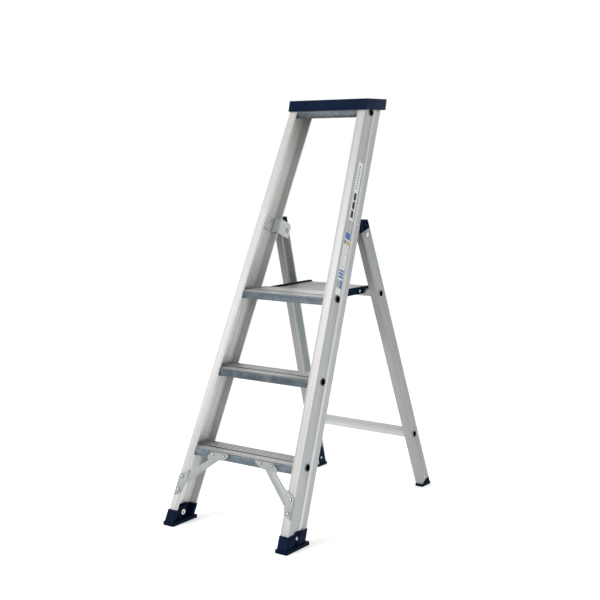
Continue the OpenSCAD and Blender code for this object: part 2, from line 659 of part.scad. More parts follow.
// ---- Platform ----
module at_platform() translate([0, platform_y, platform_h]) children();
inner_half = front_w(front_u(platform_h, tube_v) + 52) - stile_t - 0.6;
neck_half = front_w(front_u(platform_h, tube_v) + 78) - stile_f - 1.2;
module platform_front_board() color("silver") difference() {
    at_platform() difference() {
        intersection() {
            union() {
                along_x(-inner_half, inner_half) tread_profile(front_board_rear, 7);
                x_cylinder(tube_r, -inner_half, inner_half);
            }
            union() {
                along_x(-neck_half, neck_half) translate([-60, -60]) square([200, 120]);
                along_x(-250, 250) translate([-60, -60]) square([60 + tread_rear, 120]);
            }
        }
        x_cylinder(tube_bore, -big / 2, big / 2);
        both_sides() along_x(cheek_x - cheek_t - play, cheek_x + play)
            translate([tread_rear - 9, -30]) square([60, 30 + cheek_under + play]);
        // inverted-U ends are open, so the tube ends stand back from the webs
        both_sides() translate([inner_half - 1, 0, 0]) x_cylinder(tube_r + 1, 0, 20);
    }
    both_sides() front_frame() flange_zone(200);
}
cheek_top = 12;
cheek_bottom = -11.3;
cheek_under = 6.5;   // top of the cheek where it runs below the front board
hook_r = upper_bar_r + 0.35;
hook_slant = 27;
hook_mouth = hook_r + 0.5;
hook_boss = 3;        // extra thickness of the cheek round the hook
module cheek() color("midnightblue") at_platform() difference() {
    union() {
        along_x(cheek_x - cheek_t, cheek_x) cheek_outline();
        along_x(cheek_x - cheek_t, cheek_x + hook_boss) intersection() {
            cheek_outline();
            translate([hook_y - 26, -40]) square([120, 80]);
        }
    }
    x_cylinder(tube_r + run, 0, big);
    translate([0, hook_y, hook_z]) x_cylinder(hook_r, 0, big);
    at_platform_rivets() x_cylinder(2.5, -30, 30);
    // rib relief between the two rivets
    translate([cheek_x - 1.2, 90, -6]) cube([5, hook_y - 26 - 98, 1.01]);
}
module cheek_outline() difference() {
    polygon([[-13, cheek_bottom], [-13, 4], [-10.4, cheek_under], [front_board_rear + 0.4, cheek_under],
        [front_board_rear + 0.4, cheek_top - 2], [front_board_rear + 3, cheek_top],
        [296, cheek_top - 1.5], [300, cheek_top - 5], [300, -3], [hook_y + hook_r + 4, -7],
        [hook_y + hook_r - 2, -14], [hook_y, cheek_bottom - 3], [hook_y - hook_r, cheek_bottom]]);
    // the bar leaves the hook downwards and forwards
    translate([hook_y, hook_z]) {
        circle(r = hook_r);
        rotate(-hook_slant) translate([-hook_mouth, -40]) square([2 * hook_mouth, 38]);
    }
}
module at_platform_rivets() for (y = [96, 211]) translate([cheek_x, y, -1.5]) children();
board_plate = 2.9;
module rear_board_profile() {
    front = front_board_rear + 1;
    translate([front, board_plate]) square([rear_board_rear - front, 1.8]);
    for (y = [front, rear_board_rear - 2]) translate([y, -8]) square([2, 11]);
    for (y = [96, 211]) translate([y, -1.5]) circle(r = 5.2);
    for (y = [150, 196]) translate([y, -4]) square([2, 8]);
    ribs = floor((rear_board_rear - front - 6) / tread_pitch);
    for (i = [0 : ribs]) translate([rear_board_rear - 6.4 - i * tread_pitch, board_plate + 1.7])
        square([6, 1.5]);
}
module platform_rear_board() color("silver") at_platform() difference() {
    along_x(-cheek_x + cheek_t + play, cheek_x - cheek_t - play) rear_board_profile();
    for (y = [96, 211]) translate([0, y, -1.5]) x_cylinder(2.5, -big / 2, big / 2);
}
module platform_rivets() color("silver") both_sides() at_platform() at_platform_rivets() {
    x_cylinder(2.45, -cheek_t - 14, 0);
    rotate([0, 90, 0]) rotate_extrude() intersection() {
        translate([0, -3.6]) circle(r = 5.9);
        square([4.6, 4]);
    }
}

in_place() mirror([1, 0, 0]) stile();  // stile_left
in_place() stile();  // stile_right
in_place() tread_lower();
in_place() tread_middle();
in_place() top_crossbar();
in_place() top_cap();
in_place() mirror([1, 0, 0]) front_foot();  // front_foot_left
in_place() front_foot();  // front_foot_right
in_place() foot_bolts();
in_place() foot_nuts();
in_place() mirror([1, 0, 0]) gusset();  // gusset_left
in_place() gusset();  // gusset_right
in_place() gusset_rivets();
in_place() mirror([1, 0, 0]) hinge_bracket();  // hinge_bracket_left
in_place() hinge_bracket();  // hinge_bracket_right
in_place() bracket_rivets();
in_place() hinge_bolts();
in_place() hinge_washers();
in_place() mirror([1, 0, 0]) platform_bush();  // platform_bush_left
in_place() platform_bush();  // platform_bush_right
in_place() mirror([1, 0, 0]) rear_leg();  // rear_leg_left
in_place() rear_leg();  // rear_leg_right
in_place() mirror([1, 0, 0]) leg_plug();  // leg_plug_left
in_place() leg_plug();  // leg_plug_right
in_place() mirror([1, 0, 0]) rear_foot();  // rear_foot_left
in_place() rear_foot();  // rear_foot_right
in_place() rear_foot_rivets();
in_place() lower_brace();
in_place() upper_crossbar();
in_place() platform_front_board();
in_place() platform_rear_board();
in_place() mirror([1, 0, 0]) cheek();  // platform_cheek_left
in_place() cheek();  // platform_cheek_right
in_place() platform_rivets();
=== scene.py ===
"""Looks of a folding aluminium platform stepladder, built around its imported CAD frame.

Units are metres, Z is up, X runs across the ladder and Y towards the rear frame. The CAD nodes
keep their places; each gets rounded edges in a mesh of its own and a procedural material.
"""

import json
import math

import bmesh
import bpy
from mathutils import Matrix, Vector


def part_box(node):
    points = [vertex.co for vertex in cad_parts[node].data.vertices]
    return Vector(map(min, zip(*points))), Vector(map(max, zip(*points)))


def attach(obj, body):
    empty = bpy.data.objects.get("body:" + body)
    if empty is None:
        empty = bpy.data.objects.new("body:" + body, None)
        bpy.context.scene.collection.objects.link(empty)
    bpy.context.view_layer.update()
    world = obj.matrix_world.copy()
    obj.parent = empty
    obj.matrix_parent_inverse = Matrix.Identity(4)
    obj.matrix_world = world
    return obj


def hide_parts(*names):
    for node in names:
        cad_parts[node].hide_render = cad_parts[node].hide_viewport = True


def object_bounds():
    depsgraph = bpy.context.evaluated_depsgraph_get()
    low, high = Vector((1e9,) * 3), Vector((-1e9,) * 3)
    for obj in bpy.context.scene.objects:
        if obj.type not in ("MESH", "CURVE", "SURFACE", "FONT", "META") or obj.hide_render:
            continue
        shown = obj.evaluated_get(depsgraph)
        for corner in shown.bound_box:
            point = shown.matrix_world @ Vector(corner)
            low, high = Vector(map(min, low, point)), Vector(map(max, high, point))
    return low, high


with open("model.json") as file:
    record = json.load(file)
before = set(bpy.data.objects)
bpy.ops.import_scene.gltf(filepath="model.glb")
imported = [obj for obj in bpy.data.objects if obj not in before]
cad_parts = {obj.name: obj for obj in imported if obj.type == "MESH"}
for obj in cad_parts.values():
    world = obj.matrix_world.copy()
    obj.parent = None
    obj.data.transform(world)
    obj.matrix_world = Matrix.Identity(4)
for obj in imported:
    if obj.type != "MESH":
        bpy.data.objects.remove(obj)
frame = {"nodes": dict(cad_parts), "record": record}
cad_low, cad_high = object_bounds()
MM = 0.001

# Leans of the two frames from the vertical and tapers of their side members, degrees
FRONT_LEAN, REAR_LEAN = 23.8, 18.4
FRONT_TAPER, REAR_TAPER = 3.5, 3.4


# ---------------------------------------------------------------- node helpers
class Look:
    """A Principled material and short calls that add nodes to it."""

    def __init__(self, name, **sockets):
        self.material = bpy.data.materials.new(name)
        self.material.use_nodes = True
        self.tree = self.material.node_tree
        self.shader = self.tree.nodes["Principled BSDF"]
        for socket, value in sockets.items():
            self.shader.inputs[socket.replace("_", " ")].default_value = value

    def add(self, kind, **settings):
        node = self.tree.nodes.new("ShaderNode" + kind)
        for key, value in settings.items():
            setattr(node, key, value)
        return node

    def link(self, source, target):
        self.tree.links.new(source, target)

    def coords(self, turn=(0, 0, 0), scale=(1, 1, 1)):
        """Object coordinates, turned by degrees so that a leaning member's length is its own Z."""
        source = self.add("TexCoord")
        turned = self.add("Mapping", vector_type="POINT")
        turned.inputs["Rotation"].default_value = [math.radians(a) for a in turn]
        scaled = self.add("Mapping", vector_type="POINT")
        scaled.inputs["Scale"].default_value = scale
        self.link(source.outputs["Object"], turned.inputs["Vector"])
        self.link(turned.outputs["Vector"], scaled.inputs["Vector"])
        return scaled.outputs["Vector"]

    def noise(self, vector, scale, detail=4.0, roughness=0.55, distortion=0.0):
        node = self.add("TexNoise")
        for key, value in (("Scale", scale), ("Detail", detail), ("Roughness", roughness),
                           ("Distortion", distortion)):
            node.inputs[key].default_value = value
        self.link(vector, node.inputs["Vector"])
        return node.outputs["Fac"]

    def ramp(self, value, stops):
        """A float or colour that follows value through (position, value) stops."""
        node = self.add("ValToRGB")
        points = node.color_ramp.elements
        while len(points) < len(stops):
            points.new(0.5)
        for point, (at, colour) in zip(points, stops):
            point.position = at
            point.color = (colour,) * 3 + (1,) if isinstance(colour, float) else (*colour, 1)
        self.link(value, node.inputs["Fac"])
        return node.outputs["Color"]

    def math(self, operation, a, b=None, clamp=False):
        node = self.add("Math", operation=operation, use_clamp=clamp)
        for socket, value in zip(node.inputs, (a, b)):
            if isinstance(value, (int, float)):
                socket.default_value = value
            elif value is not None:
                self.link(value, socket)
        return node.outputs["Value"]

    def mix(self, factor, a, b, mode="MIX"):
        node = self.add("Mix", data_type="RGBA", blend_type=mode)
        for socket, value in zip((node.inputs[0], node.inputs[6], node.inputs[7]), (factor, a, b)):
            if isinstance(value, (int, float)):
                socket.default_value = value
            elif isinstance(value, tuple):
                socket.default_value = (*value, 1)
            else:
                self.link(value, socket)
        return node.outputs[2]

    def across(self, axis, low, high):
        """0 where the world coordinate is low and 1 where it is high, at rest."""
        source = self.add("TexCoord")
        split = self.add("SeparateXYZ")
        self.link(source.outputs["Object"], split.inputs["Vector"])
        node = self.add("MapRange")
        node.inputs["From Min"].default_value = low
        node.inputs["From Max"].default_value = high
        self.link(split.outputs[axis], node.inputs["Value"])
        return node.outputs["Result"]

    def crevice_shade(self, distance, strength):
        """Painted shade: strength in the corners where pieces meet, falling to 0 on open faces."""
        node = self.add("AmbientOcclusion", samples=6)
        node.inputs["Distance"].default_value = distance
        hidden = self.math("SUBTRACT", 1.0, node.outputs["AO"])
        return self.math("MULTIPLY", self.math("MULTIPLY", hidden, 1.6, clamp=True), strength)

    def edges(self, radius):
        """About 1 on convex edges and 0 on open faces; the materials mix it in as a painted highlight.
        """
        bevel = self.add("Bevel", samples=4)
        bevel.inputs["Radius"].default_value = radius
        geometry = self.add("NewGeometry")
        dot = self.add("VectorMath", operation="DOT_PRODUCT")
        self.link(bevel.outputs["Normal"], dot.inputs[0])
        self.link(geometry.outputs["Normal"], dot.inputs[1])
        return self.math("MULTIPLY", self.math("SUBTRACT", 1.0, dot.outputs["Value"]), 6.0, clamp=True)

    def bumps(self, *layers):
        """Each layer is (height, strength, distance in metres)."""
        normal = None
        for height, strength, distance in layers:
            node = self.add("Bump")
            node.inputs["Strength"].default_value = strength
            node.inputs["Distance"].default_value = distance
            self.link(height, node.inputs["Height"])
            if normal is not None:
                self.link(normal, node.inputs["Normal"])
            normal = node.outputs["Normal"]
        self.link(normal, self.shader.inputs["Normal"])

    def set(self, socket, value):
        self.link(value, self.shader.inputs[socket])


def grey(level, tint=(1.0, 1.0, 1.0)):
    return tuple(level * t for t in tint)


# ---------------------------------------------------------------- materials
def extruded(name, level, tint, turn, roughness, shade_heights=None):
    """Satin extruded aluminium: faint die lines along its length, cloudy tone, handling marks,
    a painted highlight on convex edges and painted shade in the corners.

    The last argument is the range of heights over which painted shade turns the metal browner and
    darker.
    """
    look = Look(name, Metallic=0.2, Specular_IOR_Level=0.4)
    along = look.coords(turn)
    clouds = look.noise(along, 7.0, 5.0, 0.6)
    lines = look.noise(look.coords(turn, (620, 620, 1.6)), 1.0, 3.0, 0.5)
    smudge = look.noise(along, 24.0, 6.0, 0.7, 0.6)
    scratch = look.noise(look.coords((turn[0], turn[1], 24), (900, 900, 26)), 1.0, 2.0, 0.5)
    tone = look.ramp(clouds, [(0.3, grey(level * 0.95, tint)), (0.7, grey(level * 1.04, tint))])
    tone = look.mix(look.math("MULTIPLY", lines, 0.22), tone, grey(level * 0.76, tint))
    tone = look.mix(look.ramp(smudge, [(0.60, 0.0), (0.80, 0.20)]), tone, grey(level * 0.72, tint))
    tone = look.mix(look.ramp(scratch, [(0.72, 0.0), (0.76, 0.35)]), tone, grey(min(1.0, level * 1.3)))
    # Painted highlight on convex edges
    tone = look.mix(look.math("MULTIPLY", look.edges(0.0012), 0.45), tone, grey(min(1.0, level * 1.35)))
    # Painted shade over the given heights, patchy, browner and darker
    if shade_heights is not None:
        shade_patches = look.ramp(clouds, [(0.2, 0.6), (0.8, 0.9)])
        height_shade = look.math("MULTIPLY", look.across("Z", *shade_heights), shade_patches)
        tone = look.mix(height_shade, tone, grey(level * 0.28, (1.08, 1.0, 0.90)))
    # Painted shade in the corners
    tone = look.mix(look.crevice_shade(0.005, 0.4), tone, grey(level * 0.35, (1.0, 0.99, 0.95)))
    look.set("Base Color", tone)
    rough = look.math("ADD", look.math("MULTIPLY", lines, 0.16), roughness - 0.08)
    rough = look.math("ADD", rough, look.math("MULTIPLY", smudge, 0.10))
    look.set("Roughness", rough)
    look.bumps((lines, 0.16, 0.0002), (look.noise(along, 900.0, 2.0), 0.05, 0.00005))
    return look.material


def mill_finish(name, shade, deck=None):
    """Untreated extrusion: blotchy slate-grey oxide with pale specks, shade times as light, with
    a painted highlight on convex edges and painted shade in the corners.

    deck is (top, nose_end, crest): the height of the rib crests, the depth where the ribs begin and
    how light the crests are. The grooves between the ribs get painted shade.
    """
    look = Look(name, Metallic=0.45, Specular_IOR_Level=0.4)
    flat = look.coords()
    blotch = look.noise(flat, 18.0, 6.0, 0.65, 0.8)
    speck = look.noise(look.coords((0, 0, 0), (90, 60, 130)), 1.0, 6.0, 0.72, 0.4)
    lines = look.noise(look.coords((0, 0, 0), (1.6, 700, 700)), 1.0, 3.0, 0.5)
    tone = look.ramp(blotch, [(0.28, grey(0.105 * shade, (0.74, 1.0, 1.24))),
                              (0.5, grey(0.175 * shade, (0.78, 1.0, 1.19))),
                              (0.74, grey(0.29 * shade, (0.86, 1.0, 1.12)))])
    pale = grey(0.42 * shade, (0.97, 1.0, 1.02))
    tone = look.mix(look.ramp(speck, [(0.52, 0.0), (0.70, 0.55)]), tone, pale)
    tone = look.mix(look.math("MULTIPLY", lines, 0.20), tone, grey(0.09 * shade, (0.9, 1.0, 1.1)))
    tone = look.mix(look.math("MULTIPLY", look.edges(0.0007), 0.55), tone, (0.62, 0.61, 0.58))
    if deck is not None:
        top, nose_end, level = deck
        streaks = look.noise(look.coords((0, 0, 0), (5, 190, 60)), 1.0, 4.0, 0.6)
        nose = look.ramp(streaks, [(0.3, (0.46, 0.462, 0.455)), (0.7, (0.58, 0.582, 0.572))])
        crest = look.ramp(streaks, [(0.3, grey(level)), (0.7, grey(level * 1.12, (1.0, 1.0, 0.99)))])
        ribbed = look.across("Y", nose_end, nose_end + 0.0006)
        # Painted shade in the grooves between the rib crests
        groove_shade = look.math("MULTIPLY", ribbed, look.across("Z", top - 0.0004, top - 0.0011))
        plate = look.mix(groove_shade, look.mix(ribbed, nose, crest), (0.10, 0.104, 0.108))
        tone = look.mix(look.across("Z", top - 0.0064, top - 0.0050), tone, plate)
    tone = look.mix(look.crevice_shade(0.006, 0.5), tone, (0.05, 0.052, 0.055))
    look.set("Base Color", tone)
    look.set("Roughness", look.math("ADD", look.math("MULTIPLY", blotch, 0.22), 0.28))
    look.bumps((lines, 0.14, 0.0002), (speck, 0.03, 0.0003))
    return look.material


def zinc_plate(name, shade=1.0):
    """Cold-rolled plate with a dull zinc coat, shade times as light, with a painted highlight on
    convex edges and painted shade in the corners.
    """
    look = Look(name, Metallic=0.3, Specular_IOR_Level=0.35)
    flat = look.coords()
    cloud = look.noise(flat, 30.0, 5.0, 0.6, 0.5)
    grain = look.noise(flat, 420.0, 3.0, 0.6)
    tone = look.ramp(cloud, [(0.3, grey(0.375 * shade, (0.95, 1.0, 1.01))),
                             (0.7, grey(0.44 * shade, (0.96, 1.0, 1.01)))])
    tone = look.mix(look.math("MULTIPLY", grain, 0.22), tone, grey(0.29 * shade))
    tone = look.mix(look.math("MULTIPLY", look.edges(0.0008), 0.5), tone, grey(min(1.0, 0.7 * shade)))
    tone = look.mix(look.crevice_shade(0.004, 0.85), tone, (0.05, 0.05, 0.048))
    look.set("Base Color", tone)
    look.set("Roughness", look.math("ADD", look.math("MULTIPLY", cloud, 0.2), 0.38))
    look.bumps((grain, 0.12, 0.0002))
    return look.material


def fastener_metal(name):
    """Bright zinc on rivets, bolts and washers, with painted shade in the small hollows."""
    look = Look(name, Metallic=0.85, Specular_IOR_Level=0.5)
    flat = look.coords()
    speck = look.noise(flat, 260.0, 4.0, 0.65)
    tone = look.ramp(speck, [(0.35, (0.62, 0.65, 0.66)), (0.65, (0.86, 0.88, 0.88))])
    tone = look.mix(look.crevice_shade(0.0045, 1.0), tone, (0.03, 0.03, 0.03))
    look.set("Base Color", tone)
    look.set("Roughness", look.math("ADD", look.math("MULTIPLY", speck, 0.25), 0.16))
    look.bumps((speck, 0.15, 0.0001))
    return look.material


def shaded_bore(name):
    """Inside of a tube, painted near-black as its shade, dull and faintly speckled."""
    look = Look(name, Metallic=0.0, Specular_IOR_Level=0.1, Roughness=0.9)
    bore_speckle = look.noise(look.coords(), 160.0, 4.0, 0.6)
    tone = look.ramp(bore_speckle, [(0.35, (0.003, 0.003, 0.003)), (0.7, (0.010, 0.010, 0.009))])
    look.set("Base Color", tone)
    look.bumps((bore_speckle, 0.2, 0.0003))
    return look.material


def moulded_plastic(name, tone_low, tone_high):
    """Injection-moulded polypropylene: fine spark texture, low sheen, paler edges as a painted
    highlight and painted shade in the corners.
    """
    look = Look(name, Metallic=0.0, IOR=1.45, Specular_IOR_Level=0.04)
    flat = look.coords()
    cloud = look.noise(flat, 22.0, 4.0, 0.6)
    spark = look.noise(flat, 1400.0, 2.0, 0.6)
    scuff = look.noise(look.coords((20, 35, 10), (60, 900, 260)), 1.0, 3.0, 0.6)
    tone = look.ramp(cloud, [(0.3, tone_low), (0.7, tone_high)])
    tone = look.mix(look.ramp(scuff, [(0.64, 0.0), (0.80, 0.04)]), tone, (0.12, 0.17, 0.27))
    tone = look.mix(look.math("MULTIPLY", look.edges(0.0010), 0.20), tone, (0.055, 0.085, 0.17))
    tone = look.mix(look.crevice_shade(0.012, 0.9), tone, (0.0008, 0.0014, 0.0035))
    look.set("Base Color", tone)
    look.set("Roughness", look.math("ADD", look.math("MULTIPLY", scuff, 0.22), 0.34))
    look.bumps((spark, 0.22, 0.0002), (cloud, 0.05, 0.002))
    return look.material


def printed_film(name, ink):
    """Glossy vinyl with a slightly uneven print and rubbed edges."""
    look = Look(name, Metallic=0.0, Specular_IOR_Level=0.4)
    flat = look.coords()
    wear = look.noise(flat, 140.0, 5.0, 0.65)
    cloud = look.noise(flat, 20.0, 3.0, 0.5)
    tone = look.ramp(cloud, [(0.3, tuple(c * 0.9 for c in ink)), (0.7, ink)])
    tone = look.mix(look.ramp(wear, [(0.66, 0.0), (0.74, 0.25)]), tone, (0.62, 0.64, 0.64))
    look.set("Base Color", tone)
    look.set("Roughness", look.math("ADD", look.math("MULTIPLY", wear, 0.2), 0.22))
    look.bumps((cloud, 0.05, 0.001))
    return look.material


SATIN, WARM = (0.985, 1.0, 0.995), (1.0, 0.993, 0.978)
COOL, OLIVE = (0.945, 1.0, 1.015), (0.975, 1.0, 0.965)
RIGHT_STILE, LEFT_STILE = (FRONT_LEAN, FRONT_TAPER, 0), (FRONT_LEAN, -FRONT_TAPER, 0)
RIGHT_LEG, LEFT_LEG = (-REAR_LEAN, REAR_TAPER, 0), (-REAR_LEAN, -REAR_TAPER, 0)
# Heights over which painted shade turns the rear legs' flanges and the stiles' insides darker and
# browner
LEG_SHADE_HEIGHTS, STILE_SHADE_HEIGHTS = (0.50, 0.86), (1.08, 1.30)
# The rear legs are darker copies of the stiles' metal, the left one darkest: painted shade
materials = {
    "stile_right": extruded("stile_satin_right", 0.59, WARM, RIGHT_STILE, 0.40),
    "stile_left": extruded("stile_satin_left", 0.58, WARM, LEFT_STILE, 0.40),
    "rear_leg_right": extruded("leg_satin_right", 0.38, WARM, RIGHT_LEG, 0.38, LEG_SHADE_HEIGHTS),
    "rear_leg_left": extruded("leg_satin_left", 0.30, WARM, LEFT_LEG, 0.38, LEG_SHADE_HEIGHTS),
    "lower_brace": extruded("brace_satin", 0.62, SATIN, (0, 90, 0), 0.38),
    "upper_crossbar": extruded("crossbar_satin", 0.36, SATIN, (0, 90, 0), 0.30),
}
# Inner and outer face of each web. They are one extrusion; the lighter inside and darker outside are
# painted light and shade
webs = {
    "stile_right": (extruded("stile_inside_right", 0.86, OLIVE, RIGHT_STILE, 0.44, STILE_SHADE_HEIGHTS),
                    extruded("stile_web_right", 0.48, COOL, RIGHT_STILE, 0.36)),
    "stile_left": (extruded("stile_inside_left", 0.86, OLIVE, LEFT_STILE, 0.44, STILE_SHADE_HEIGHTS),
                   extruded("stile_web_left", 0.48, COOL, LEFT_STILE, 0.36)),
    "rear_leg_right": (extruded("leg_inside_right", 0.62, COOL, RIGHT_LEG, 0.42),
                       extruded("leg_web_right", 0.39, COOL, RIGHT_LEG, 0.36)),
    "rear_leg_left": (extruded("leg_inside_left", 0.62, COOL, LEFT_LEG, 0.42),
                      extruded("leg_web_left", 0.39, COOL, LEFT_LEG, 0.36)),
}
ZINC = zinc_plate("zinc_plate")
BRACKET = zinc_plate("bracket_plate", 1.75)
FASTENER = fastener_metal("bright_zinc")
NAVY = moulded_plastic("navy_polypropylene", (0.0018, 0.0085, 0.027), (0.0033, 0.0125, 0.039))
# Painted sheen on the cap's end faces
CAP_END_SHEEN = moulded_plastic("navy_cap_end_sheen", (0.012, 0.022, 0.050), (0.018, 0.030, 0.064))
MILL = mill_finish("mill_aluminium", 0.42)
# Painted shade inside the open tubes
BORE = shaded_bore("shaded_bore")
# Painted highlight on the beads and corners of the side members' outer faces
BEAD_HIGHLIGHT = extruded("bead_highlight", 0.88, WARM, RIGHT_STILE, 0.34)
# Painted highlight on the rolled tube ends outside the legs
ROLLED_HIGHLIGHT = zinc_plate("rolled_end", 2.0)
# Painted shade on the steep rims of the rivet domes
RIM_SHADE = zinc_plate("rivet_rim_shade", 0.16)
# Depth of the smooth nose in front of the ribs of a tread or of the front board
NOSE_DEPTH = 0.0287
# How light each ribbed node's oxide is painted: lighter and darker copies of one finish, painted light
# and shade
SHADE = {"tread_lower": 1.05, "tread_middle": 0.66, "platform_front_board": 0.82,
         "platform_rear_board": 1.0}
# How light the rib crests of the treads and of the platform are
TREAD_CREST, PLATFORM_CREST = 0.84, 0.46


def material_for(node, slot):
    if node in materials:
        return materials[node]
    if node.startswith("hinge_bracket"):
        return BRACKET
    if node in SHADE:
        low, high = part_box(node)
        ribs_from = low.y + (0 if node == "platform_rear_board" else NOSE_DEPTH)
        crest = PLATFORM_CREST if node.startswith("platform") else TREAD_CREST
        return mill_finish("mill_" + node, SHADE[node], (high.z, ribs_from, crest))
    return {"mill_aluminium": MILL, "plate_steel": ZINC, "fastener_steel": FASTENER,
            "navy_plastic": NAVY}[slot]


# ---------------------------------------------------------------- meshes from the frame
# Radius of the rounded edges of each slot's pieces, and the bevel's segments
EDGE = {"stile_aluminium": (0.8, 2), "rear_leg_aluminium": (0.7, 2), "mill_aluminium": (0.45, 2),
        "brace_aluminium": (0.6, 2), "plate_steel": (0.5, 2), "fastener_steel": (0.3, 2),
        "navy_plastic": (1.1, 3)}


def rounded_copy(node, width, segments):
    """A piece with the CAD node's shape and rounded edges, which is shown instead of it."""
    source = frame["nodes"][node]
    mesh = source.data.copy()
    mesh.materials.clear()
    piece = bpy.data.objects.new("skin_" + node, mesh)
    bpy.context.scene.collection.objects.link(piece)
    work = bmesh.new()
    work.from_mesh(mesh)
    bmesh.ops.remove_doubles(work, verts=work.verts, dist=2e-6)
    bmesh.ops.dissolve_limit(work, angle_limit=math.radians(0.6), verts=work.verts, edges=work.edges,
                             use_dissolve_boundaries=False)
    work.to_mesh(mesh)
    work.free()
    bevel = piece.modifiers.new("rounding", "BEVEL")
    bevel.width = width * MM
    bevel.segments = segments
    bevel.limit_method = "ANGLE"
    bevel.angle_limit = math.radians(35)
    bevel.use_clamp_overlap = True
    bevel.miter_outer = "MITER_ARC"
    graph = bpy.context.evaluated_depsgraph_get()
    shaped = bpy.data.meshes.new_from_object(piece.evaluated_get(graph), depsgraph=graph)
    piece.modifiers.clear()
    piece.data = shaped
    shaped.shade_smooth()
    shaped.set_sharp_from_angle(angle=math.radians(32))
    return piece


# Nodes with a tube that is open at its ends
TUBED = ("tread_lower", "tread_middle", "top_crossbar", "lower_brace", "upper_crossbar",
         "platform_bush_left", "platform_bush_right")
# Outer radius of a tube's flared mouth, and the length of a rolled end with its tilt
MOUTH_RADIUS, ROLLED_END = 0.0107, 0.0026
# The rivets further out than this sit on the stiles; a rim is steeper than the angle of this cosine
STILE_RIVETS_FROM, RIM_COSINE = 0.16, 0.86
# How far outwards the flat of a web looks, a bead or corner on it, and the web's inner face, as cosines
FLAT_COSINE, BEAD_COSINE, INNER_COSINE = 0.99, 0.2, -0.75
# Depth behind a front face within which a face still belongs to it
SKIN = 0.001


def shade_bores(piece, highlight_ends):
    """Give the second material, painted shade, to the faces inside the tube, which look towards its
    axis.

    With its second argument set, the rolled ends outside the legs get the third one, a bright metal
    as a painted highlight.
    """
    mesh = piece.data
    mesh.materials.append(BORE)
    mesh.materials.append(ROLLED_HIGHLIGHT)
    outermost = max(abs(v.co.x) for v in mesh.vertices)
    ends = [v.co for v in mesh.vertices if abs(v.co.x) > outermost - ROLLED_END]
    axis_y = (min(p.y for p in ends) + max(p.y for p in ends)) / 2
    axis_z = (min(p.z for p in ends) + max(p.z for p in ends)) / 2
    for face in mesh.polygons:
        away = Vector((0, face.center.y - axis_y, face.center.z - axis_z))
        if away.length < MOUTH_RADIUS and face.normal.dot(away) < -0.1 * away.length:
            face.material_index = 1
        elif highlight_ends and abs(face.center.x) > outermost - ROLLED_END:
            face.material_index = 2


def dress_web(piece, inner, outer):
    """Give the second and third materials, lighter and darker copies of one metal as painted light
    and shade, to the inner and outer face of a side member's web.

    Corners and beads on the outer side get the fourth, a painted highlight. Behind a rear leg's front
    face, its flanges get the same lighter one as the inside of the web.
    """
    mesh = piece.data
    for material in (inner, outer, BEAD_HIGHLIGHT):
        mesh.materials.append(material)
    outwards = 1 if mesh.vertices[0].co.x > 0 else -1
    lean = math.radians(REAR_LEAN)
    across_leg = Vector((0, math.cos(lean), math.sin(lean)))
    front = min(v.co.dot(across_leg) for v in mesh.vertices)
    for face in mesh.polygons:
        facing = face.normal.x * outwards
        if facing > FLAT_COSINE:
            face.material_index = 2
        elif facing > BEAD_COSINE:
            face.material_index = 3
        elif facing < INNER_COSINE:
            face.material_index = 1
        elif "rear_leg" in piece.name and face.center.dot(across_leg) > front + SKIN:
            face.material_index = 1


def paint_cap_end_sheen(piece):
    """Give the second material, a lighter navy as a painted sheen, to the cap's two end faces."""
    piece.data.materials.append(CAP_END_SHEEN)
    outermost = max(v.co.x for v in piece.data.vertices)
    for face in piece.data.polygons:
        if abs(face.normal.x) > 0.9 and abs(face.center.x) > outermost - ROLLED_END:
            face.material_index = 1


def shade_rivet_rims(piece):
    """Give the second material, a dark metal as painted shade, to the steep rims of the gusset rivets'
    domes.
    """
    piece.data.materials.append(RIM_SHADE)
    lean = math.radians(FRONT_LEAN)
    on_tread, on_stile = Vector((0, -1, 0)), Vector((0, -math.cos(lean), math.sin(lean)))
    for face in piece.data.polygons:
        axis = on_tread if abs(face.center.x) < STILE_RIVETS_FROM else on_stile
        if 0.3 < face.normal.dot(axis) < RIM_COSINE:
            face.material_index = 1


def dress_nodes():
    record = frame["record"]
    slots = {part["node"]: part["material_slot"] for part in record["subparts"]}
    body_of = {n: b for b, ns in record["behaviour"]["bodies"].items() for n in ns}
    for node, slot in slots.items():
        piece = rounded_copy(node, *EDGE[slot])
        piece.data.materials.clear()
        piece.data.materials.append(material_for(node, slot))
        if node in TUBED:
            shade_bores(piece, node == "upper_crossbar")
        if node in webs:
            dress_web(piece, *webs[node])
        if node == "gusset_rivets":
            shade_rivet_rims(piece)
        if node == "top_cap":
            paint_cap_end_sheen(piece)
        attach(piece, body_of[node])
        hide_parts(node)


dress_nodes()


# ---------------------------------------------------------------- films on the right stile
def stile_place():
    """Matrix from the right stile's own axes to the world: depth, distance up and out of the web."""
    lean, taper = math.radians(FRONT_LEAN), math.radians(FRONT_TAPER)
    boot_low, boot_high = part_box("front_foot_right")
    sole_beside, sole_before = 7 * MM, 1.5 * MM
    base = Vector((boot_high.x - sole_beside, boot_low.y + sole_before, 0))
    out = Vector((math.cos(taper), math.sin(taper) * math.sin(lean), math.sin(taper) * math.cos(lean)))
    back = Vector((0, math.cos(lean), -math.sin(lean)))
    up = Vector((-math.sin(taper), math.cos(taper) * math.sin(lean), math.cos(taper) * math.cos(lean)))
    return Matrix(((back.x, up.x, out.x, base.x), (back.y, up.y, out.y, base.y),
                   (back.z, up.z, out.z, base.z), (0, 0, 0, 1)))


INKS = {"white": (0.78, 0.80, 0.80), "ink": (0.012, 0.012, 0.014), "blue": (0.045, 0.16, 0.42),
        "amber": (0.66, 0.36, 0.04), "grey": (0.40, 0.40, 0.39)}
FILMS = {name: printed_film("film_" + name, ink) for name, ink in INKS.items()}
FILM_T, PRINT_T = 0.10, 0.05


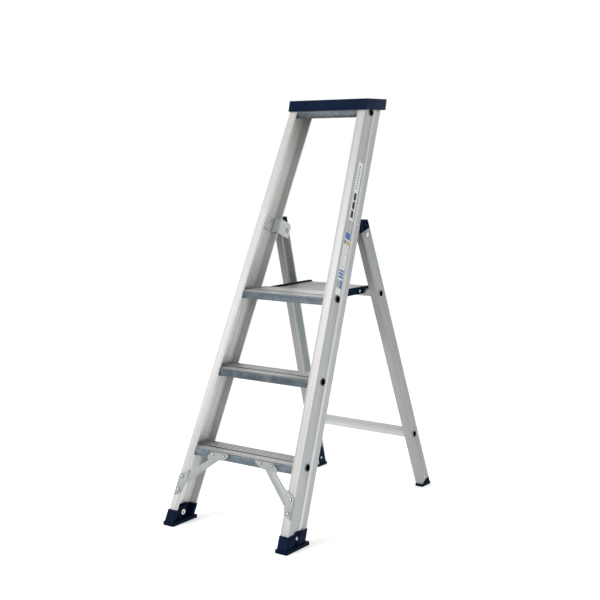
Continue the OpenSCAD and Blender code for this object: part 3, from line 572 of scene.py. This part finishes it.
def film(work, depth, length, level, thickness, radius, index):
    """A thin rounded plate: its depth and length ranges on the web, and its level above it, mm."""
    ring = []
    corners = [(depth[1], length[1], 0), (depth[0], length[1], 90), (depth[0], length[0], 180),
               (depth[1], length[0], 270)]
    middle = ((depth[0] + depth[1]) / 2, (length[0] + length[1]) / 2)
    for v, u, turn in corners:
        hub_v = v - math.copysign(radius, v - middle[0])
        hub_u = u - math.copysign(radius, u - middle[1])
        for step in range(5):
            angle = math.radians(turn + step * 22.5)
            ring.append((hub_v + radius * math.cos(angle), hub_u + radius * math.sin(angle)))
    lower = [work.verts.new((v * MM, u * MM, level * MM)) for v, u in ring]
    upper = [work.verts.new((v * MM, u * MM, (level + thickness) * MM)) for v, u in ring]
    faces = [work.faces.new(upper), work.faces.new(list(reversed(lower)))]
    for i in range(len(ring)):
        j = (i + 1) % len(ring)
        faces.append(work.faces.new((lower[i], lower[j], upper[j], upper[i])))
    for face in faces:
        face.material_index = index


def label(name, base, prints):
    """One white film with plain printed blocks (ink, depth range, length range) on it."""
    inks = ["white"] + sorted({p[0] for p in prints})
    work = bmesh.new()
    film(work, *base, 0.02, FILM_T, 2.0, 0)
    for ink, depth, length in prints:
        film(work, depth, length, 0.02 + FILM_T, PRINT_T, 0.3, inks.index(ink))
    bmesh.ops.transform(work, matrix=stile_place(), verts=work.verts)
    bmesh.ops.recalc_face_normals(work, faces=work.faces)
    mesh = bpy.data.meshes.new(name)
    work.to_mesh(mesh)
    work.free()
    for ink in inks:
        mesh.materials.append(FILMS[ink])
    piece = bpy.data.objects.new(name, mesh)
    bpy.context.scene.collection.objects.link(piece)
    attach(piece, "front_frame")


def labels():
    """Plain bars and blocks stand in for all lettering and signs."""
    label("film_upper", ((17, 42), (1025, 1216)),
          [("ink", (22, 36), (low, low + 23)) for low in (1033, 1062, 1091)]
          + [("blue", (28, 31), (1052, 1096))]
          + [("ink", (26, 32), (1128 + 9 * i, 1132 + 9 * i)) for i in range(9)])
    thin_lines = [("grey", (17 + 3.2 * (i % 2), 38 - 5 * (i % 3)), (872 + 6.5 * i, 873.6 + 6.5 * i))
                  for i in range(11)]
    label("film_lower", ((14, 43), (784, 984)),
          [("blue", (15, 42), (962, 983)), ("blue", (15, 24), (945, 958)),
           ("amber", (27, 41), (945, 958))]
          + thin_lines
          + [("blue", (16, 41), (838, 845)), ("blue", (16, 41), (848, 855)),
             ("blue", (16, 41), (858, 864)), ("grey", (15, 29), (806, 832)),
             ("blue", (31, 42), (806, 832))])


labels()


# ---------------------------------------------------------------- stage, light and camera
def stage():
    mesh = bpy.data.meshes.new("floor")
    size = 60.0
    corners = [(-size, -size, 0), (size, -size, 0), (size, size, 0), (-size, size, 0)]
    mesh.from_pydata(corners, [], [(0, 1, 2, 3)])
    floor = bpy.data.objects.new("floor", mesh)
    bpy.context.scene.collection.objects.link(floor)
    look = Look("pale_floor", Roughness=0.9, Specular_IOR_Level=0.1, Emission_Color=(1, 1, 1, 1),
                Emission_Strength=0.40)
    cloud = look.noise(look.coords(), 3.0)
    look.set("Base Color", look.ramp(cloud, [(0.3, grey(0.955)), (0.7, grey(0.965))]))
    mesh.materials.append(look.material)


def soft_box(name, place, aim, size, power):
    light = bpy.data.lights.new(name, "AREA")
    light.shape = "RECTANGLE"
    light.size, light.size_y = size
    light.energy = power
    box = bpy.data.objects.new(name, light)
    box.location = place
    box.rotation_euler = (Vector(aim) - Vector(place)).to_track_quat("-Z", "Y").to_euler()
    bpy.context.scene.collection.objects.link(box)


def world_light():
    """A white cyclorama behind the object, falling off to a dimmer room in front of it."""
    world = bpy.data.worlds.new("studio")
    bpy.context.scene.world = world
    world.use_nodes = True
    tree = world.node_tree
    source = tree.nodes.new("ShaderNodeTexCoord")
    facing = tree.nodes.new("ShaderNodeVectorMath")
    facing.operation = "DOT_PRODUCT"
    facing.inputs[1].default_value = (-0.59, 0.81, 0)
    fall = tree.nodes.new("ShaderNodeMapRange")
    for socket, value in (("From Min", -0.5), ("From Max", 0.6), ("To Min", 0.30), ("To Max", 1.0)):
        fall.inputs[socket].default_value = value
    tree.links.new(source.outputs["Generated"], facing.inputs[0])
    tree.links.new(facing.outputs["Value"], fall.inputs["Value"])
    tree.links.new(fall.outputs["Result"], tree.nodes["Background"].inputs["Strength"])
    tree.nodes["Background"].inputs["Color"].default_value = (1, 1, 1, 1)


def camera():
    """The view from the climbing side's right, slightly above the platform."""
    azimuth, elevation, roll = math.radians(36.0), math.radians(7.77), math.radians(-0.5)
    distance, lens = 3.4475, 67.77
    centre = (cad_low + cad_high) / 2
    target = centre + Vector((0.0737, -0.1184, 0.0372))
    forward = Vector((-math.sin(azimuth) * math.cos(elevation), math.cos(azimuth) * math.cos(elevation),
                      -math.sin(elevation)))
    level_right = Vector((math.cos(azimuth), math.sin(azimuth), 0))
    level_up = level_right.cross(forward)
    right = level_right * math.cos(roll) + level_up * math.sin(roll)
    up = right.cross(forward)
    data = bpy.data.cameras.new("camera")
    data.lens = lens
    data.sensor_width = 36.0
    data.clip_end = 200
    rig = bpy.data.objects.new("camera", data)
    place = target - forward * distance
    rig.matrix_world = Matrix((
        (right.x, up.x, -forward.x, place.x),
        (right.y, up.y, -forward.y, place.y),
        (right.z, up.z, -forward.z, place.z),
        (0, 0, 0, 1)))
    bpy.context.scene.collection.objects.link(rig)
    bpy.context.scene.camera = rig


stage()
world_light()
soft_box("key", (-1.6, -3.4, 3.1), (0, 0, 1.0), (2.4, 2.4), 100)
soft_box("fill", (3.6, -1.3, 1.5), (0, 0, 0.6), (2.6, 2.6), 12)
camera()
bpy.context.scene.view_settings.view_transform = "Standard"
